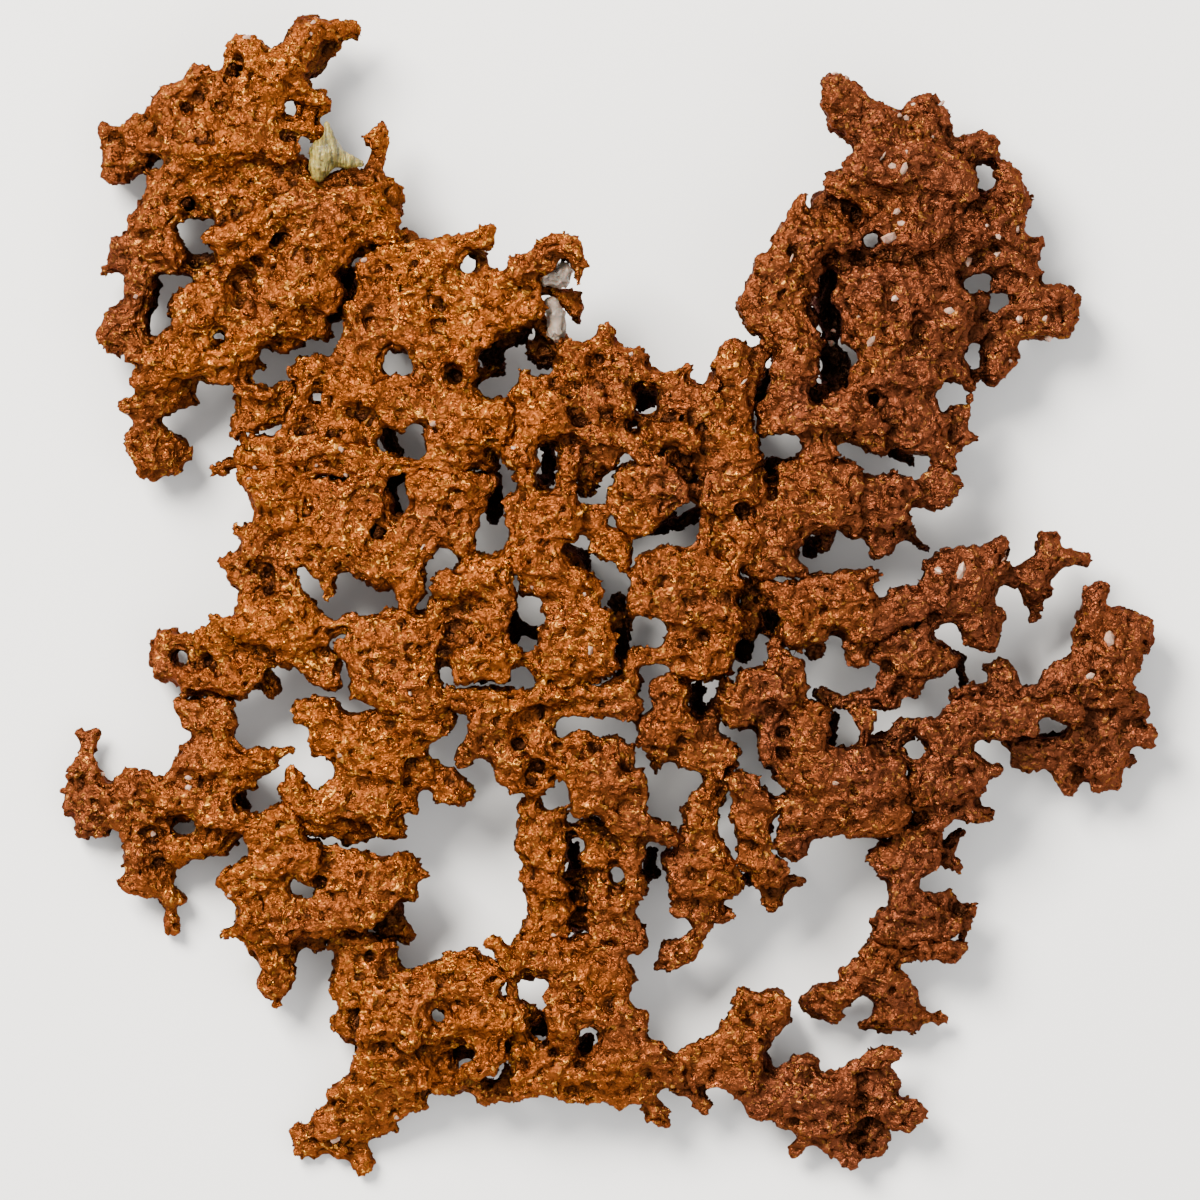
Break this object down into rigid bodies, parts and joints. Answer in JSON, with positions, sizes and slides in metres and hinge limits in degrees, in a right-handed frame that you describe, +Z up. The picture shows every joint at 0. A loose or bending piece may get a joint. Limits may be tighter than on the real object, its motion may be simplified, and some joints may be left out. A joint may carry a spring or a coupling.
{
  "type": "native copper nugget",
  "caption": "Flat, lace-like native copper growth with knobbly branches, resting on small worn feet.",
  "frame": {"origin": "middle of the bounding box, on the surface that the nugget lies on", "axes": "+Z up from the surface it lies on, +Y towards the two upper lobes, +X to the right seen from above"},
  "size_m": [0.1094, 0.1158, 0.0155],
  "materials": {
    "native_copper": "rough tarnished native copper",
    "green_crust": "silky fibrous mineral crust",
    "calcite": "cloudy calcite"
  },
  "bodies": {
    "root": {"arch_foot": "native_copper", "centre": "native_copper", "centre_right": "native_copper", "centre_top": "native_copper", "green_mineral_crust": "green_crust", "left_arm": "native_copper", "left_foot": "native_copper", "left_sheet": "native_copper", "left_sheet_top": "native_copper", "left_shelf": "native_copper", "lower_arch": "native_copper", "lower_left": "native_copper", "lower_left_block": "native_copper", "lower_right_branch": "native_copper", "lower_stem": "native_copper", "middle_foot": "native_copper", "middle_left": "native_copper", "right_arm": "native_copper", "right_branch": "native_copper", "right_bridge": "native_copper", "right_core": "native_copper", "right_foot": "native_copper", "right_lobe": "native_copper", "right_shoulder": "native_copper", "upper_left_lobe": "native_copper", "upper_right_lobe": "native_copper", "white_calcite_lower": "calcite", "white_calcite_upper": "calcite"}
  },
  "joints": []
}
